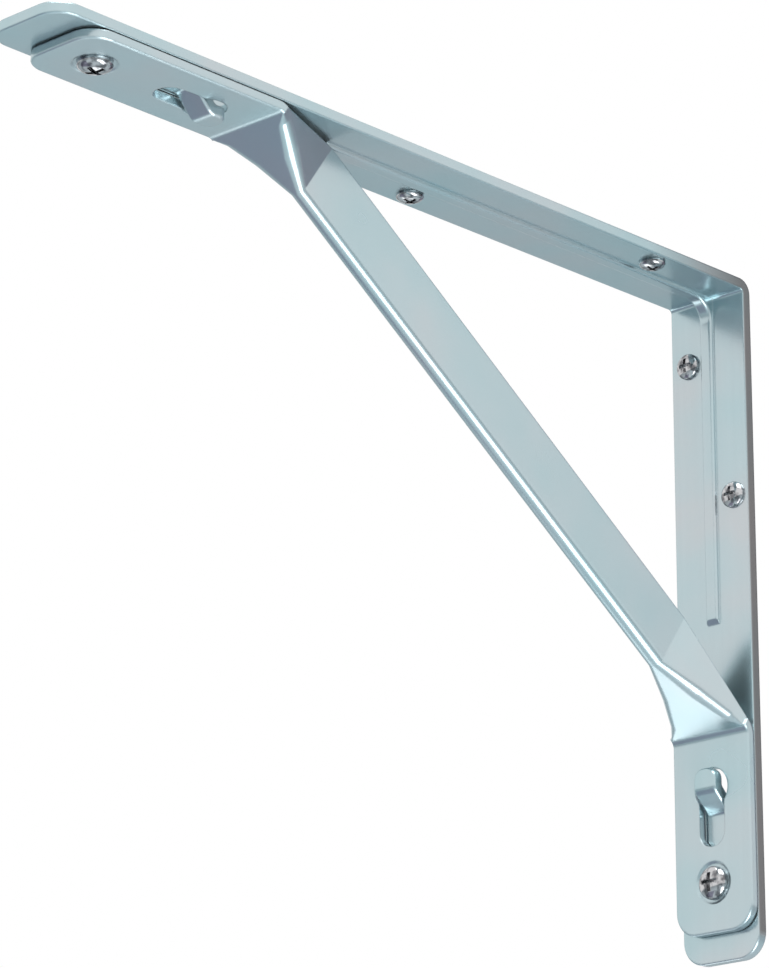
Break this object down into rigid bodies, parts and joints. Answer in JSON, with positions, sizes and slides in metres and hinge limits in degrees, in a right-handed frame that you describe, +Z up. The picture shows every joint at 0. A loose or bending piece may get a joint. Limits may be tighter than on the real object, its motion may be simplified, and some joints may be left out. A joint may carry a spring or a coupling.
{
  "type": "braced shelf bracket",
  "caption": "L-shaped shelf bracket folded from thick zinc-plated strip, with a folded diagonal brace screwed on over hook tongues in keyholes.",
  "frame": {"origin": "on the plain back face of the wall arm, midway across its width, 132 mm below the top face of the shelf arm", "axes": "+Z up, +X into the wall, so the shelf arm reaches out along -X, and Y across the width"},
  "size_m": [0.3, 0.03, 0.22],
  "materials": {
    "arm_zinc": "bright zinc plate",
    "brace_zinc": "bright zinc plate",
    "screw_bright": "bright nickel plate"
  },
  "bodies": {
    "root": {"angle_arm": "arm_zinc", "diagonal_brace": "brace_zinc", "brace_screws": "screw_bright", "arm_screws": "screw_bright"}
  },
  "joints": []
}
